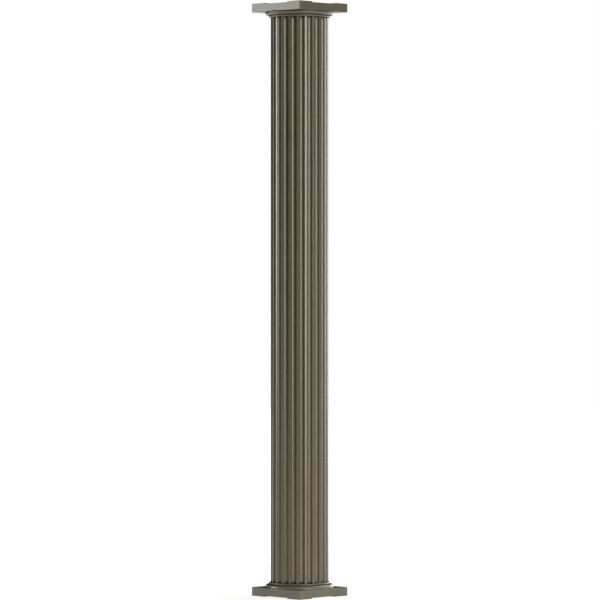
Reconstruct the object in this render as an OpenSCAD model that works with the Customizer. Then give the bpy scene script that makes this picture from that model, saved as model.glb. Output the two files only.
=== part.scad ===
// A round fluted column of painted aluminium: a hollow extruded shaft that stands in the socket of
// a cast base and carries the same casting, turned over, as its capital. Millimetres, +Z up, with
// the origin on the floor under the column's axis and the plates' sides along X and Y.

/* [Column] */
// Height of the whole column, from the floor to the top of the capital
column_h = 3048; // [1800:1:3700]

/* [Shaft] */
// Diameter of the shaft over its lands
shaft_d = 297; // [285:0.1:299]
// Number of flutes round the shaft
flute_count = 22; // [18:1:24]
// Share of each flute's pitch that its land takes up
land_share = 0.3; // [0.26:0.01:0.45]
// Depth of a flute below the lands
flute_depth = 14.3; // [8:0.1:15]
// Thickness of the shaft's wall, in the flutes and under the lands
shaft_wall = 3.2; // [2.4:0.1:3.6]

/* [Base and capital] */
// Side of the square plate, which is also the diameter of the roll where it is widest
plate_w = 349.2; // [343:0.1:365]
// Height of the square plate, from the face that it stands on to its shoulder
plate_h = 44.45; // [40:0.05:60]
// Radius of the plate's four upright corners
corner_r = 2.8; // [1:0.1:6]
// Side of the square foot under each corner
foot_w = 89.7; // [50:0.1:110]
// Height of the air gap between two feet
vent_h = 4.8; // [3:0.1:8]
// Thickness of the castings' walls
cast_wall = 6.4; // [5:0.1:8]

/* [Moulding] */
// Radius of the big roll's section
roll_r = 12.7; // [11:0.1:14]
// Height of the roll's centre above the plate
roll_rise = 5; // [3:0.1:8]
// Radius of the bead's section above the roll
bead_r = 5.45; // [4:0.05:7]
// Radius of the bead where it is widest
bead_reach = 156.2; // [156:0.1:158]

/* [Socket] */
// Gap all round between the shaft and its socket
socket_gap = 0.4; // [0.2:0.1:0.6]
// Depth of the socket, from the end of the bead to the ledge that carries the shaft
socket_depth = 35; // [32:0.1:44]
// Radius of the round opening inside the ledge
opening_r = 125; // [100:1:130]

/* [Hidden] */
paint = [0.40, 0.38, 0.31];
cut = 1;
roll_reach = plate_w / 2;
roll_h = roll_rise + roll_r;
casting_h = plate_h + roll_h + 2 * bead_r;
seat_z = casting_h - socket_depth;
socket_r = shaft_d / 2 + socket_gap;
shaft_r = shaft_d / 2;
shaft_h = column_h - 2 * seat_z;
// Half of the angle that a flute takes up, and the radius on which its floor lies
flute_half = (1 - land_share) * 180 / flute_count;
floor_r = shaft_r - flute_depth;
// A flute is a cylinder that passes through its two edges and its floor
flute_c = (pow(shaft_r, 2) - pow(floor_r, 2)) / (2 * (shaft_r * cos(flute_half) - floor_r));
flute_r = flute_c - floor_r;

// One circle in each flute, the first half a pitch from +X so that a land faces +X
module flute_circles(radius) {
    for (i = [0 : flute_count - 1])
        rotate((i + 0.5) * 360 / flute_count)
            translate([flute_c, 0])
                circle(r = radius, $fn = 96);
}

// Section of the shaft: lands and flutes outside, and an even wall behind both
module shaft_section() {
    difference() {
        circle(r = shaft_r, $fn = 360);
        flute_circles(flute_r);
        difference() {
            circle(r = shaft_r - shaft_wall, $fn = 360);
            flute_circles(flute_r + shaft_wall);
        }
    }
}

module shaft() {
    color(paint)
        translate([0, 0, seat_z])
            linear_extrude(height = shaft_h)
                shaft_section();
}

// Half section of the roll and the bead, measured from the axis and the plate's shoulder
module moulding_section() {
    roll_c = roll_reach - roll_r;
    bead_c = bead_reach - bead_r;
    intersection() {
        translate([roll_c, roll_rise])
            circle(r = roll_r, $fn = 64);
        translate([roll_c, 0])
            square([roll_r, roll_h]);
    }
    translate([socket_r, 0])
        square([roll_c - socket_r, roll_h]);
    translate([bead_c, roll_h + bead_r])
        circle(r = bead_r, $fn = 48);
    translate([socket_r, 0])
        square([bead_c - socket_r, roll_h + 2 * bead_r]);
}

module moulding() {
    translate([0, 0, plate_h])
        rotate_extrude($fn = 180)
            moulding_section();
}

// Outline of the plate: a square with its corners rounded
module plate_outline() {
    straight = plate_w - 2 * corner_r;
    square([plate_w, straight], center = true);
    square([straight, plate_w], center = true);
    for (x = [-straight / 2, straight / 2], y = [-straight / 2, straight / 2])
        translate([x, y])
            circle(r = corner_r, $fn = 48);
}

// The room inside the plate's shell, open below: a cross between the feet, and one pocket in each
module shell_hollow() {
    inner_w = plate_w - 2 * cast_wall;
    vent_w = plate_w - 2 * foot_w;
    pocket_w = foot_w - 2 * cast_wall;
    hollow_h = plate_h - cast_wall + cut;
    for (turn = [0, 90])
        rotate(turn)
            translate([-inner_w / 2, -vent_w / 2, -cut])
                cube([inner_w, vent_w, hollow_h]);
    for (turn = [0 : 90 : 270])
        rotate(turn)
            translate([vent_w / 2 + cast_wall, vent_w / 2 + cast_wall, -cut])
                cube([pocket_w, pocket_w, hollow_h]);
}

// The air gaps: a shallow channel each way between the feet, right across the casting
module vents() {
    length = plate_w + 2 * cut;
    vent_w = plate_w - 2 * foot_w;
    for (turn = [0, 90])
        rotate(turn)
            translate([-length / 2, -vent_w / 2, -cut])
                cube([length, vent_w, vent_h + cut]);
}

// Base casting: a plate on four feet, the moulding, and a round socket with a ledge in it
module casting() {
    ledge_z = seat_z - cast_wall;
    difference() {
        union() {
            difference() {
                linear_extrude(height = plate_h)
                    plate_outline();
                shell_hollow();
            }
            moulding();
            cylinder(r = socket_r + cast_wall, h = plate_h, $fn = 180);
        }
        translate([0, 0, seat_z])
            cylinder(r = socket_r, h = socket_depth + cut, $fn = 180);
        translate([0, 0, -cut])
            cylinder(r = socket_r, h = ledge_z + cut, $fn = 180);
        translate([0, 0, -cut])
            cylinder(r = opening_r, h = casting_h, $fn = 180);
        vents();
    }
}

module base() {
    color(paint)
        casting();
}

// The capital is the base casting, turned over on top of the shaft
module capital() {
    color(paint)
        translate([0, 0, column_h])
            mirror([0, 0, 1])
                casting();
}

base();
shaft();
capital();
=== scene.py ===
# A round fluted porch column of painted aluminium, standing on a pale floor.
# Every length here is in metres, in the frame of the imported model.
import bmesh
import bpy
import math
from mathutils import Matrix, Vector


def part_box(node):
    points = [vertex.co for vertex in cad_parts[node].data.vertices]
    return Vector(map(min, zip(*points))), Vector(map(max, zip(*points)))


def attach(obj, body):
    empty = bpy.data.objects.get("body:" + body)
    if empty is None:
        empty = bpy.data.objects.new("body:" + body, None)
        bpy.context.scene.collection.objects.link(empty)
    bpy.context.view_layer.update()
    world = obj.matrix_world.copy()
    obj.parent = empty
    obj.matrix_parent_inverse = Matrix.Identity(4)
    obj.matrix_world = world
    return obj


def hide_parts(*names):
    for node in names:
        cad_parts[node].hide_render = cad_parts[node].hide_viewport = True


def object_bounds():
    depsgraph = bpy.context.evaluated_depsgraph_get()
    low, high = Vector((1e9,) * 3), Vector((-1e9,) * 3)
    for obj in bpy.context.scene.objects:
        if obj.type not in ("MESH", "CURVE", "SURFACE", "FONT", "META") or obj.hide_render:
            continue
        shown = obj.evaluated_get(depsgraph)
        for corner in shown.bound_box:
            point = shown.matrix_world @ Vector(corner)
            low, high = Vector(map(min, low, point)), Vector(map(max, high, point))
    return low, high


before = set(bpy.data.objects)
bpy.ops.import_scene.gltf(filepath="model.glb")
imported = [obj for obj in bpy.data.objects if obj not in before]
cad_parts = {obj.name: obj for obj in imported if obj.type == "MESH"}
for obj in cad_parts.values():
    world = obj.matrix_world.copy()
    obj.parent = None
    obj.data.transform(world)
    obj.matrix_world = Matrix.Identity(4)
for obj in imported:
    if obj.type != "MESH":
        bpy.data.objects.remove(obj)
cad_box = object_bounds()


# ---------------------------------------------------------------------------------------------
# Camera: corner-on to the square plates, 18 m off at a standing person's eye height, with a
# long lens, so that the shaft's sides stay parallel and both plates are seen almost edge-on.
MM = 0.001
column_h = cad_box[1][2] - cad_box[0][2]
eye_distance = 18.34
eye_height = 1.626
lens_mm = 213.68
corner_on = math.radians(45)
beside_axis = 1.8 * MM
below_middle = 0.6 * MM

towards_eye = Vector((math.sin(corner_on), -math.cos(corner_on), 0))
rightwards = Vector((math.cos(corner_on), math.sin(corner_on), 0))
camera_data = bpy.data.cameras.new("camera")
camera_data.lens = lens_mm
camera_data.clip_end = 100
camera = bpy.data.objects.new("camera", camera_data)
bpy.context.scene.collection.objects.link(camera)
bpy.context.scene.camera = camera
camera.location = towards_eye * eye_distance + Vector((0, 0, eye_height))
look_at = rightwards * beside_axis + Vector((0, 0, column_h / 2 - below_middle))
camera.rotation_euler = (look_at - camera.location).to_track_quat("-Z", "Y").to_euler()
bpy.context.scene.view_settings.view_transform = "Standard"


# ---------------------------------------------------------------------------------------------
# Shaft: one hollow extrusion of aluminium that stands on the base's ledge and carries the
# capital's. Its die gives it half-round flutes with narrow lands between them, an even wall
# behind both, and arrises eased just enough to hold paint.
shaft_low, shaft_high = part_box("shaft")
shaft_h = shaft_high.z - shaft_low.z
base_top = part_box("base")[1].z
land_r = shaft_high.x
flute_count = 22
land_share = 0.3
flute_depth = 14.3 * MM
shaft_wall = 3.2 * MM
arris_round = 0.9 * MM
arris_steps = 3
flute_steps = 18
land_steps = 4
shaft_courses = 24

pitch = 2 * math.pi / flute_count
flute_half = (1 - land_share) * pitch / 2
floor_r = land_r - flute_depth
flute_c = (land_r**2 - floor_r**2) / (2 * (land_r * math.cos(flute_half) - floor_r))
flute_r = flute_c - floor_r
AXIS = Vector((0, 0, 1))
ORIGIN = Vector((0, 0, 0))
CLOSE = 0.01 * MM


def verts_in(geometry):
    return [g for g in geometry if isinstance(g, bmesh.types.BMVert)]


def edges_in(geometry):
    return [g for g in geometry if isinstance(g, bmesh.types.BMEdge)]


def fluted_skin(bm, reach, hollow_r):
    """Adds a fluted skin without ends: lands on radius reach, flutes of radius hollow_r."""
    half = math.acos((reach**2 + flute_c**2 - hollow_r**2) / (2 * reach * flute_c))
    edge = Vector((reach * math.cos(half), -reach * math.sin(half), shaft_low.z))
    flute_axis = Vector((flute_c, 0, shaft_low.z))
    first = edge - flute_axis
    sweep = 2 * math.pi - 2 * math.atan2(-first.y, first.x)
    start = bmesh.ops.create_vert(bm, co=edge)["vert"]
    flute = bmesh.ops.spin(
        bm, geom=start, cent=flute_axis, axis=AXIS, angle=-sweep, steps=flute_steps
    )
    bmesh.ops.spin(
        bm,
        geom=verts_in(flute["geom_last"]),
        cent=ORIGIN,
        axis=AXIS,
        angle=pitch - 2 * half,
        steps=land_steps,
    )
    half_pitch = Matrix.Rotation(pitch / 2, 3, "Z")
    bmesh.ops.rotate(bm, verts=bm.verts[:], cent=ORIGIN, matrix=half_pitch)
    rim = bm.edges[:]
    for course in range(shaft_courses):
        grown = bmesh.ops.extrude_edge_only(bm, edges=rim)["geom"]
        rise = Vector((0, 0, shaft_h / shaft_courses))
        bmesh.ops.translate(bm, verts=verts_in(grown), vec=rise)
        rim = edges_in(grown)
    bmesh.ops.spin(
        bm,
        geom=bm.verts[:] + bm.edges[:] + bm.faces[:],
        cent=ORIGIN,
        axis=AXIS,
        angle=2 * math.pi,
        steps=flute_count,
        use_duplicate=True,
        use_merge=True,
    )
    bmesh.ops.remove_doubles(bm, verts=bm.verts[:], dist=CLOSE)


def ease(bm, edges, width, steps):
    bmesh.ops.bevel(
        bm,
        geom=edges,
        offset=width,
        offset_type="OFFSET",
        segments=steps,
        profile=0.5,
        affect="EDGES",
        clamp_overlap=True,
        material=-1,
    )


def sharp_edges(bm, least_degrees):
    least = math.radians(least_degrees)
    return [e for e in bm.edges if e.is_manifold and e.calc_face_angle() > least]


def finished_piece(name, bm, smooth_degrees):
    """Makes the mesh an object at the origin, smooth except across its sharper edges."""
    bmesh.ops.recalc_face_normals(bm, faces=bm.faces[:])
    mesh = bpy.data.meshes.new(name)
    bm.to_mesh(mesh)
    bm.free()
    mesh.shade_smooth()
    mesh.set_sharp_from_angle(angle=math.radians(smooth_degrees))
    piece = bpy.data.objects.new(name, mesh)
    bpy.context.scene.collection.objects.link(piece)
    flats = piece.modifiers.new("flats_shade_flat", "WEIGHTED_NORMAL")
    flats.mode = "FACE_AREA"
    flats.weight = 100
    flats.keep_sharp = True
    return piece


def shaft_mesh():
    outer = bmesh.new()
    fluted_skin(outer, land_r, flute_r)
    ease(outer, sharp_edges(outer, 40), arris_round, arris_steps)
    inside = bpy.data.meshes.new("shaft_inside")
    inner = bmesh.new()
    fluted_skin(inner, land_r - shaft_wall, flute_r + shaft_wall)
    inner.to_mesh(inside)
    inner.free()
    outer.from_mesh(inside)
    bpy.data.meshes.remove(inside)
    for end in (shaft_low.z, shaft_high.z):
        rims = [
            e for e in outer.edges if e.is_boundary and abs(e.verts[0].co.z - end) < CLOSE
        ]
        bmesh.ops.triangle_fill(outer, edges=rims, use_beauty=True)
    return outer


class Wire:
    """One socket of a material's nodes. Sums on wires that carry values add Math nodes."""

    def __init__(self, tree, socket=None):
        self.tree = tree
        self.socket = socket

    def node(self, kind, settings=None, sockets=None, result=0):
        """Adds a node: its settings first, then each socket's value or link."""
        made = self.tree.nodes.new(kind)
        for name, value in (settings or {}).items():
            setattr(made, name, value)
        for name, value in (sockets or {}).items():
            if isinstance(value, Wire):
                self.tree.links.new(value.socket, made.inputs[name])
            else:
                made.inputs[name].default_value = value
        return Wire(self.tree, made.outputs[result])

    def sum(self, operation, first, second=0):
        return self.node("ShaderNodeMath", {"operation": operation}, {0: first, 1: second})

    def __add__(self, other):
        return self.sum("ADD", self, other)

    def __sub__(self, other):
        return self.sum("SUBTRACT", self, other)

    def __rsub__(self, other):
        return self.sum("SUBTRACT", other, self)

    def __mul__(self, other):
        return self.sum("MULTIPLY", self, other)

    __radd__ = __add__
    __rmul__ = __mul__

    def larger(self, other):
        return self.sum("MAXIMUM", self, other)

    def smaller(self, other):
        return self.sum("MINIMUM", self, other)

    def size(self):
        return self.sum("ABSOLUTE", self)

    def step(self, low, high):
        """Rises smoothly from 0 at low to 1 at high."""
        sockets = {"Value": self, "From Min": low, "From Max": high}
        return self.node("ShaderNodeMapRange", {"interpolation_type": "SMOOTHSTEP"}, sockets)

    def along(self, axis):
        return self.node("ShaderNodeSeparateXYZ", None, {"Vector": self}, axis)

    def stretched(self, factors):
        return self.node("ShaderNodeVectorMath", {"operation": "MULTIPLY"}, {0: self, 1: factors})

    def length(self):
        return self.node("ShaderNodeVectorMath", {"operation": "LENGTH"}, {0: self}, "Value")

    def noise(self, scale, detail):
        sockets = {"Vector": self, "Scale": scale, "Detail": detail}
        return self.node("ShaderNodeTexNoise", None, sockets)

    def tinted(self, colour, amount):
        """This colour, gone over to another one by an amount from 0 to 1."""
        sockets = {0: amount, 6: self, 7: colour}
        return self.node("ShaderNodeMix", {"data_type": "RGBA"}, sockets, 2)

    def shaded(self, colour, amount):
        """A plain colour made lighter or darker by an amount that is 1 on average."""
        grey = self.node("ShaderNodeCombineXYZ", None, {0: amount, 1: amount, 2: amount})
        return grey.stretched(colour)


class Paint:
    """A painted metal's material, and the ends of its nodes that a finish fills in."""

    def __init__(self, name):
        self.material = bpy.data.materials.new(name)
        self.material.use_nodes = True
        self.shader = self.material.node_tree.nodes["Principled BSDF"]
        self.start = Wire(self.material.node_tree)
        self.place = self.start.node("ShaderNodeTexCoord", result="Object")

    def finish(self, colour, roughness, relief):
        """Wires a colour, a roughness and a relief in metres to the shader."""
        sockets = {"Strength": 1.0, "Distance": 1.0, "Height": relief}
        normal = self.start.node("ShaderNodeBump", None, sockets)
        for name, wire in (("Base Color", colour), ("Roughness", roughness), ("Normal", normal)):
            self.start.tree.links.new(wire.socket, self.shader.inputs[name])
        self.shader.inputs["IOR"].default_value = 1.5


olive = (0.128, 0.109, 0.053)
olive_chalked = (0.20, 0.18, 0.12, 1)
# Near-black olive for painted shade: in the castings' creases, at the flute ends and on the shaft
# beside the bead.
olive_painted_shade = (0.014, 0.012, 0.008, 1)
olive_rubbed = (0.26, 0.24, 0.17, 1)
gloss_roughness = 0.24
orange_peel = 0.006 * MM
die_line_depth = 0.008 * MM
# Reach of the painted shade: up the flutes from each bead, and on the whole shaft right beside the
# bead.
flute_end_shade_reach = 18 * MM
bead_shade_reach = 6 * MM
splash_low = 0.1
splash_high = 0.9


def shaft_paint():
    """Semi-gloss olive paint: chalked low in the flutes, with painted shade at their ends and beside
    the bead, rubbed on arrises.
    """
    paint = Paint("shaft_paint")
    place = paint.place
    depth = land_r - place.stretched((1, 1, 0)).length()
    height = place.along("Z")
    cloud = place.stretched((1, 1, 0.25)).noise(5, 4)
    fleck = place.noise(260, 2)
    die_line = place.stretched((1, 1, 0.004)).noise(700, 2)
    shade = 0.86 + 0.22 * cloud + 0.06 * fleck
    hollow = depth.step(0.7 * flute_depth, flute_depth)
    # Painted shade: the flutes darken towards the bead at each end, most in their hollows, and a narrow
    # band darkens the shaft beside the bead, where the bead and its socket shade it.
    from_bead = (height - base_top).smaller(column_h - base_top - height)
    flute_end_shade = depth.step(0, 0.5 * flute_depth) * (1 - from_bead.step(0, flute_end_shade_reach))
    bead_shade = 1 - from_bead.step(0, bead_shade_reach)
    painted_shade = (flute_end_shade * 0.9).larger(bead_shade * 0.85) * (0.7 + 0.5 * cloud)
    splash = (1 - height.step(splash_low, splash_high)) * 0.4 + 0.12
    chalk = hollow * splash * cloud.step(0.3, 0.7)
    arris = depth.step(0.05 * MM, 0.25 * MM) * (1 - depth.step(0.8 * MM, 1.5 * MM))
    rub = arris * place.stretched((1, 1, 0.3)).noise(24, 5).step(0.45, 0.7) * 0.55
    colour = paint.start.shaded(olive, shade).tinted(olive_chalked, chalk)
    # The painted shade goes on last, over the rubbed arrises.
    colour = colour.tinted(olive_rubbed, rub).tinted(olive_painted_shade, painted_shade)
    roughness = gloss_roughness - 0.05 + 0.08 * cloud + 0.04 * die_line
    # The painted shade is also made rougher, which dulls its gloss.
    roughness = roughness + 0.2 * chalk + 0.6 * painted_shade
    relief = place.noise(850, 1) * orange_peel + die_line * die_line_depth
    paint.finish(colour, roughness, relief)
    return paint.material


shaft = finished_piece("fluted_shaft", shaft_mesh(), 50)
shaft.data.materials.append(shaft_paint())
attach(shaft, "root")
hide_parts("shaft")


# ---------------------------------------------------------------------------------------------
# Base and capital: one aluminium casting, used both ways up. Its square plate is a shell on four
# walled feet, with an air gap between each two. The roll, the bead over it and the round socket,
# with the ledge that carries the shaft, are cast on, and the socket is turned true.
base_low, base_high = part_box("base")
plate_w = base_high.x - base_low.x
casting_h = base_high.z - base_low.z
seat_z = shaft_low.z
plate_h = 44.45 * MM
corner_round = 2.8 * MM
foot_w = 89.7 * MM
vent_h = 4.8 * MM
cast_wall = 6.4 * MM
roll_r = 12.7 * MM
roll_rise = 5 * MM
bead_r = 5.45 * MM
bead_reach = 156.2 * MM
socket_r = land_r + 0.4 * MM
opening_r = 125 * MM
edge_round = 1.2 * MM
lip_round = 1 * MM
lathe_steps = 192
# A lighter, yellower copy of the shaft's olive: painted light that makes the castings brighter than the
# shaft.
cast_olive_lightened = (0.146, 0.13, 0.081)
sand_pebble = 0.015 * MM
cast_waviness = 0.03 * MM


def turn_once(bm):
    """Sweeps an outline once round the column's axis and joins up its seam."""
    bmesh.ops.spin(
        bm,
        geom=bm.verts[:] + bm.edges[:],
        cent=ORIGIN,
        axis=AXIS,
        angle=2 * math.pi,
        steps=lathe_steps,
        use_merge=True,
    )
    bmesh.ops.remove_doubles(bm, verts=bm.verts[:], dist=CLOSE)


class Outline:
    """Half of a round section, drawn as one chain of edges from a first point."""

    def __init__(self, x, z):
        self.bm = bmesh.new()
        self.first = bmesh.ops.create_vert(self.bm, co=(x, 0, z))["vert"][0]
        self.tip = self.first

    def line(self, x, z):
        step = bmesh.ops.extrude_vert_indiv(self.bm, verts=[self.tip])
        self.tip = step["verts"][0]
        self.tip.co = Vector((x, 0, z))

    def arc(self, x, z, degrees, steps):
        """Turns about a centre, clockwise where degrees is positive."""
        arc = bmesh.ops.spin(
            self.bm,
            geom=[self.tip],
            cent=(x, 0, z),
            axis=(0, 1, 0),
            angle=math.radians(degrees),
            steps=steps,
        )
        self.tip = verts_in(arc["geom_last"])[0]

    def turned(self):
        """The solid that the closed outline sweeps round the column's axis."""
        bmesh.ops.contextual_create(self.bm, geom=[self.tip, self.first])
        turn_once(self.bm)
        bmesh.ops.recalc_face_normals(self.bm, faces=self.bm.faces[:])
        return self.bm


def turned_moulding():
    """Socket wall, ledge, bead and roll, sunk a little into the plate's skin."""
    roll_c = plate_w / 2 - roll_r
    roll_z = plate_h + roll_rise
    foot_drop = plate_h - 0.4 * cast_wall
    foot_turn = 90 + math.degrees(math.asin((roll_z - foot_drop) / roll_r))
    outline = Outline(socket_r, 0)
    outline.line(socket_r, seat_z - cast_wall)
    outline.line(opening_r, seat_z - cast_wall)
    outline.line(opening_r, seat_z)
    outline.line(socket_r, seat_z)
    outline.line(socket_r, casting_h - lip_round)
    outline.arc(socket_r + lip_round, casting_h - lip_round, 90, 4)
    outline.line(bead_reach - bead_r, casting_h)
    outline.arc(bead_reach - bead_r, casting_h - bead_r, 165, 20)
    outline.line(outline.tip.co.x, roll_z + roll_r)
    outline.line(roll_c, roll_z + roll_r)
    outline.arc(roll_c, roll_z, foot_turn, 24)
    outline.line(socket_r + cast_wall, foot_drop)
    outline.line(socket_r + cast_wall, 0)
    return outline.turned()


def box_mesh(width, depth, low_z, high_z, centre_x=0, centre_y=0):
    bm = bmesh.new()
    bmesh.ops.create_cube(bm, size=1)
    bmesh.ops.scale(bm, vec=(width, depth, high_z - low_z), verts=bm.verts[:])
    place = (centre_x, centre_y, (low_z + high_z) / 2)
    bmesh.ops.translate(bm, vec=place, verts=bm.verts[:])
    return bm


def plate_block():
    bm = box_mesh(plate_w, plate_w, 0, plate_h)
    upright = [e for e in bm.edges if abs(e.verts[0].co.z - e.verts[1].co.z) > CLOSE]
    ease(bm, upright, corner_round, 8)
    rims = [e for e in bm.edges if e.verts[0].co.z == e.verts[1].co.z]
    ease(bm, rims, edge_round, 3)
    return bm


def round_cutter(radius, low_z, high_z):
    outline = Outline(radius, low_z)
    outline.line(radius, high_z)
    bm = outline.bm
    turn_once(bm)
    bmesh.ops.holes_fill(bm, edges=[e for e in bm.edges if e.is_boundary], sides=0)
    bmesh.ops.recalc_face_normals(bm, faces=bm.faces[:])
    return bm


def worked(name, block, tools):
    """Cuts or joins each tool's solid into the block, and gives the mesh that is left."""
    piece = bpy.data.objects.new(name, bpy.data.meshes.new(name))
    block.to_mesh(piece.data)
    block.free()
    bpy.context.scene.collection.objects.link(piece)
    helpers = []
    for operation, tool in tools:
        mesh = bpy.data.meshes.new("tool")
        tool.to_mesh(mesh)
        tool.free()
        helper = bpy.data.objects.new("tool", mesh)
        bpy.context.scene.collection.objects.link(helper)
        helpers.append(helper)
        step = piece.modifiers.new(operation, "BOOLEAN")
        step.operation = operation
        step.solver = "EXACT"
        step.object = helper
    bpy.context.view_layer.update()
    cut = piece.evaluated_get(bpy.context.evaluated_depsgraph_get()).to_mesh()
    bm = bmesh.new()
    bm.from_mesh(cut)
    for helper in helpers:
        bpy.data.objects.remove(helper)
    bpy.data.objects.remove(piece)
    bmesh.ops.remove_doubles(bm, verts=bm.verts[:], dist=CLOSE)
    return bm


def casting_mesh():
    past = 10 * MM
    inner_w = plate_w - 2 * cast_wall
    vent_w = plate_w - 2 * foot_w
    vent_length = plate_w + 2 * past
    pocket_w = foot_w - 2 * cast_wall
    pocket_c = (plate_w - foot_w) / 2
    ceiling = plate_h - cast_wall
    tools = [
        ("DIFFERENCE", box_mesh(inner_w, vent_w, -past, ceiling)),
        ("DIFFERENCE", box_mesh(vent_w, inner_w, -past, ceiling)),
    ]
    for x in (-pocket_c, pocket_c):
        for y in (-pocket_c, pocket_c):
            tools.append(("DIFFERENCE", box_mesh(pocket_w, pocket_w, -past, ceiling, x, y)))
    tools += [
        ("DIFFERENCE", round_cutter(socket_r + cast_wall / 2, -past, casting_h)),
        ("UNION", turned_moulding()),
        ("DIFFERENCE", box_mesh(vent_length, vent_w, -past, vent_h)),
        ("DIFFERENCE", box_mesh(vent_w, vent_length, -past, vent_h)),
    ]
    return worked("casting", plate_block(), tools)


def cast_paint():
    """The same paint on sand-cast metal, in a lighter colour that is painted light: pebbled, rubbed on
    edges, and darkened with painted shade in its creases, most of all at the capital, whose creases lie
    in the shade of its plate."""
    paint = Paint("cast_paint")
    place = paint.place
    height = place.along("Z").smaller(column_h - place.along("Z"))
    radius = place.stretched((1, 1, 0)).length()
    beside_x = place.along("X").size()
    beside_y = place.along("Y").size()
    half = plate_w / 2
    cloud = place.noise(9, 4)
    fleck = place.noise(240, 2)
    pebble = place.noise(420, 3)
    shade = 0.87 + 0.2 * cloud + 0.06 * fleck
    # 1 at the capital and 0 at the base: the painted shade is at full strength in the capital's
    #                                     creases.
    capital_half = place.along("Z").step(0.4 * column_h, 0.6 * column_h)
    # Painted shade in three creases: plate and roll, roll and bead, bead and socket. The last number is
    # how much of it the base keeps.
    painted_shade = 0
    for crease_r, crease_z, reach, share_at_base in (
        (half - 1 * MM, plate_h, 7 * MM, 0.15),
        (bead_reach + 2 * MM, plate_h + roll_rise + roll_r, 10 * MM, 0.9),
        (socket_r, casting_h, 7 * MM, 0.9),
    ):
        out = (radius - crease_r).size()
        up = (height - crease_z).size()
        crease = 1 - (out + up).step(0.3 * reach, reach)
        painted_shade = (crease * (share_at_base + (1 - share_at_base) * capital_half)).larger(painted_shade)
    painted_shade = painted_shade * (0.8 + 0.2 * place.noise(40, 4).step(0.3, 0.6))
    corner = beside_x.smaller(beside_y).step(half - 4.5 * MM, half - 1.5 * MM)
    side = beside_x.larger(beside_y).step(half - 2 * MM, half - 0.8 * MM)
    shoulder = height.step(plate_h - 2.2 * MM, plate_h - 1 * MM) * side
    foot = (1 - height.step(0.8 * MM, 2.2 * MM)) * side
    edge = (corner * side).larger(shoulder).larger(foot)
    rub = edge * place.noise(28, 5).step(0.45, 0.7) * 0.5 * (1 - height.step(plate_h, casting_h))
    # The near-black tint here is painted shade.
    colour = paint.start.shaded(cast_olive_lightened, shade).tinted(olive_painted_shade, painted_shade)
    colour = colour.tinted(olive_rubbed, rub)
    # The painted shade is also made rougher, which dulls its gloss.
    roughness = gloss_roughness - 0.02 + 0.08 * cloud + 0.6 * painted_shade - 0.06 * rub
    relief = pebble * sand_pebble + place.noise(60, 2) * cast_waviness
    paint.finish(colour, roughness, relief)
    return paint.material


casting = casting_mesh()
turned_over = casting.copy()
bmesh.ops.scale(turned_over, vec=(1, 1, -1), verts=turned_over.verts[:])
bmesh.ops.translate(turned_over, vec=(0, 0, column_h), verts=turned_over.verts[:])
casting_paint = cast_paint()
for node, bm in (("base", casting), ("capital", turned_over)):
    piece = finished_piece("cast_" + node, bm, 35)
    piece.data.materials.append(casting_paint)
    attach(piece, "root")
    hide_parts(node)


# ---------------------------------------------------------------------------------------------
# Floor and surround: a floor that takes the column's shadow, in front of a white surround. The
# floor is a mid grey that throws little light up at the column, and its own glow makes it pale.
# The eye and the paint's gloss both see the white; otherwise it gives only a dim fill.
floor_reach = 30
floor_grey = (0.5, 0.5, 0.49, 1)
floor_glow = 0.78
shadow_reach = 1.2
glow_full = 4.8
fill = 0.05


def seen_directly(start):
    """1 for what the eye sees, straight, in a gloss or through glass, and 0 elsewhere."""
    rays = start.node("ShaderNodeLightPath", result="Is Camera Ray")
    for ray in ("Is Glossy Ray", "Is Transmission Ray"):
        rays = rays.larger(start.node("ShaderNodeLightPath", result=ray))
    return rays


def floor_material():
    material = bpy.data.materials.new("pale_floor")
    material.use_nodes = True
    material.node_tree.nodes.clear()
    start = Wire(material.node_tree)
    clean = start.node("ShaderNodeBsdfDiffuse", None, {"Color": floor_grey})
    place = start.node("ShaderNodeTexCoord", result="Object")
    far = place.length().step(shadow_reach, glow_full)
    strength = seen_directly(start) * (floor_glow + (1 - floor_glow) * far)
    glow = start.node("ShaderNodeEmission", None, {"Strength": strength})
    both = start.node("ShaderNodeAddShader", None, {0: clean, 1: glow})
    end = start.tree.nodes.new("ShaderNodeOutputMaterial")
    start.tree.links.new(both.socket, end.inputs["Surface"])
    return material


ground = bmesh.new()
bmesh.ops.create_circle(ground, cap_ends=True, segments=128, radius=floor_reach)
floor = finished_piece("floor", ground, 30)
floor.data.materials.append(floor_material())

world = bpy.data.worlds.new("white_surround")
world.use_nodes = True
bpy.context.scene.world = world
background = world.node_tree.nodes["Background"]
background.inputs["Color"].default_value = (1, 1, 1, 1)
sky = Wire(world.node_tree)
level = fill + (1 - fill) * seen_directly(sky)
world.node_tree.links.new(level.socket, background.inputs["Strength"])


# ---------------------------------------------------------------------------------------------
# Lamps: four large soft panels stand round the column, beyond the camera: one to its right, one
# for the left side and two for the right-hand back. Two small ones near the floor light the
# column's foot.
panel_distance = 24
low_distance = 1.3


def soft_panel(name, azimuth, elevation, wide, high, radiance, away=panel_distance):
    """A lamp placed and sized by degrees, as the column's foot sees it. A nearer one gives no gloss."""
    across = 2 * away * math.tan(math.radians(wide / 2))
    upright = 2 * away * math.tan(math.radians(high / 2))
    data = bpy.data.lights.new(name, "AREA")
    data.shape = "RECTANGLE"
    data.size = across
    data.size_y = upright
    data.energy = radiance * math.pi * across * upright
    lamp = bpy.data.objects.new(name, data)
    bpy.context.scene.collection.objects.link(lamp)
    lamp.visible_camera = False
    lamp.visible_glossy = away == panel_distance
    swing = Matrix.Rotation(math.radians(azimuth), 3, "Z") @ towards_eye
    level_part = swing * math.cos(math.radians(elevation))
    lamp.location = (level_part + AXIS * math.sin(math.radians(elevation))) * away
    lamp.rotation_euler = (-lamp.location).to_track_quat("-Z", "Y").to_euler()


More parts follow.
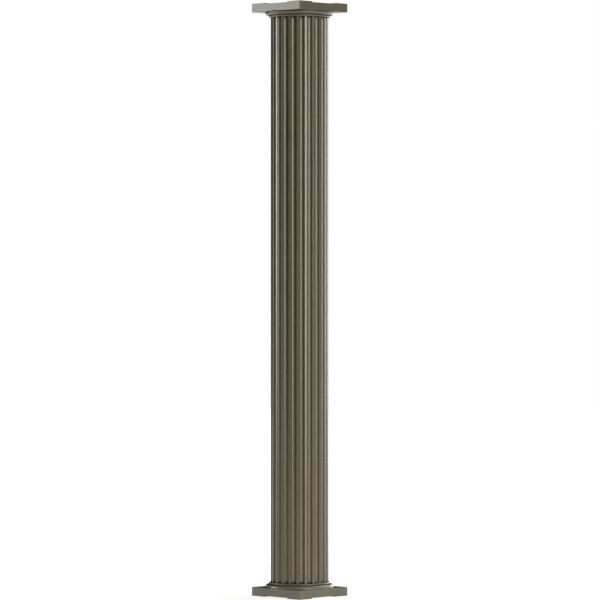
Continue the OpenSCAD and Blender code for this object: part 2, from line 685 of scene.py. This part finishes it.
soft_panel("right_panel", azimuth=30, elevation=10, wide=36, high=20, radiance=8)
soft_panel("left_panel", azimuth=-101, elevation=11, wide=24, high=18, radiance=9)
soft_panel("low_right_panel", azimuth=58, elevation=4, wide=44, high=9, radiance=5, away=low_distance)
soft_panel("low_left_panel", azimuth=-45, elevation=4, wide=36, high=9, radiance=4.2, away=low_distance)
soft_panel("back_panel", azimuth=143, elevation=10, wide=46, high=20, radiance=3.1)
soft_panel("high_panel", azimuth=125, elevation=50, wide=50, high=28, radiance=3.6)


# ---------------------------------------------------------------------------------------------
# Cards: black cloth hung beyond the panels, to the left of the camera, to the right, behind the
# column and overhead. It keeps the shaded sides of the flutes deep, and the camera can't see it.
card_distance = 27
card_height = 24
cloth_black = (0.012, 0.012, 0.012, 1)

cloth = bpy.data.materials.new("black_cloth")
cloth.use_nodes = True
cloth.node_tree.nodes["Principled BSDF"].inputs["Base Color"].default_value = cloth_black
cloth.node_tree.nodes["Principled BSDF"].inputs["Roughness"].default_value = 1
cloth.node_tree.nodes["Principled BSDF"].inputs["Specular IOR Level"].default_value = 0


def black_card(name, bm):
    card = finished_piece(name, bm, 30)
    card.data.materials.append(cloth)
    card.visible_camera = False


def hung_card(name, first_azimuth, last_azimuth):
    bm = bmesh.new()
    corner = Matrix.Rotation(math.radians(first_azimuth), 3, "Z") @ towards_eye * card_distance
    foot = bmesh.ops.create_vert(bm, co=corner)["vert"]
    top = bmesh.ops.extrude_vert_indiv(bm, verts=foot)
    bmesh.ops.translate(bm, verts=top["verts"], vec=AXIS * card_height)
    turn = math.radians(last_azimuth - first_azimuth)
    geometry = bm.verts[:] + bm.edges[:]
    bmesh.ops.spin(bm, geom=geometry, cent=ORIGIN, axis=AXIS, angle=turn, steps=12)
    black_card(name, bm)


hung_card("left_card", -88, -4)
hung_card("right_card", 58, 112)
hung_card("back_card", 168, 250)
overhead = bmesh.new()
bmesh.ops.create_circle(overhead, cap_ends=True, segments=64, radius=card_distance)
bmesh.ops.translate(overhead, verts=overhead.verts[:], vec=AXIS * card_height)
black_card("overhead_card", overhead)
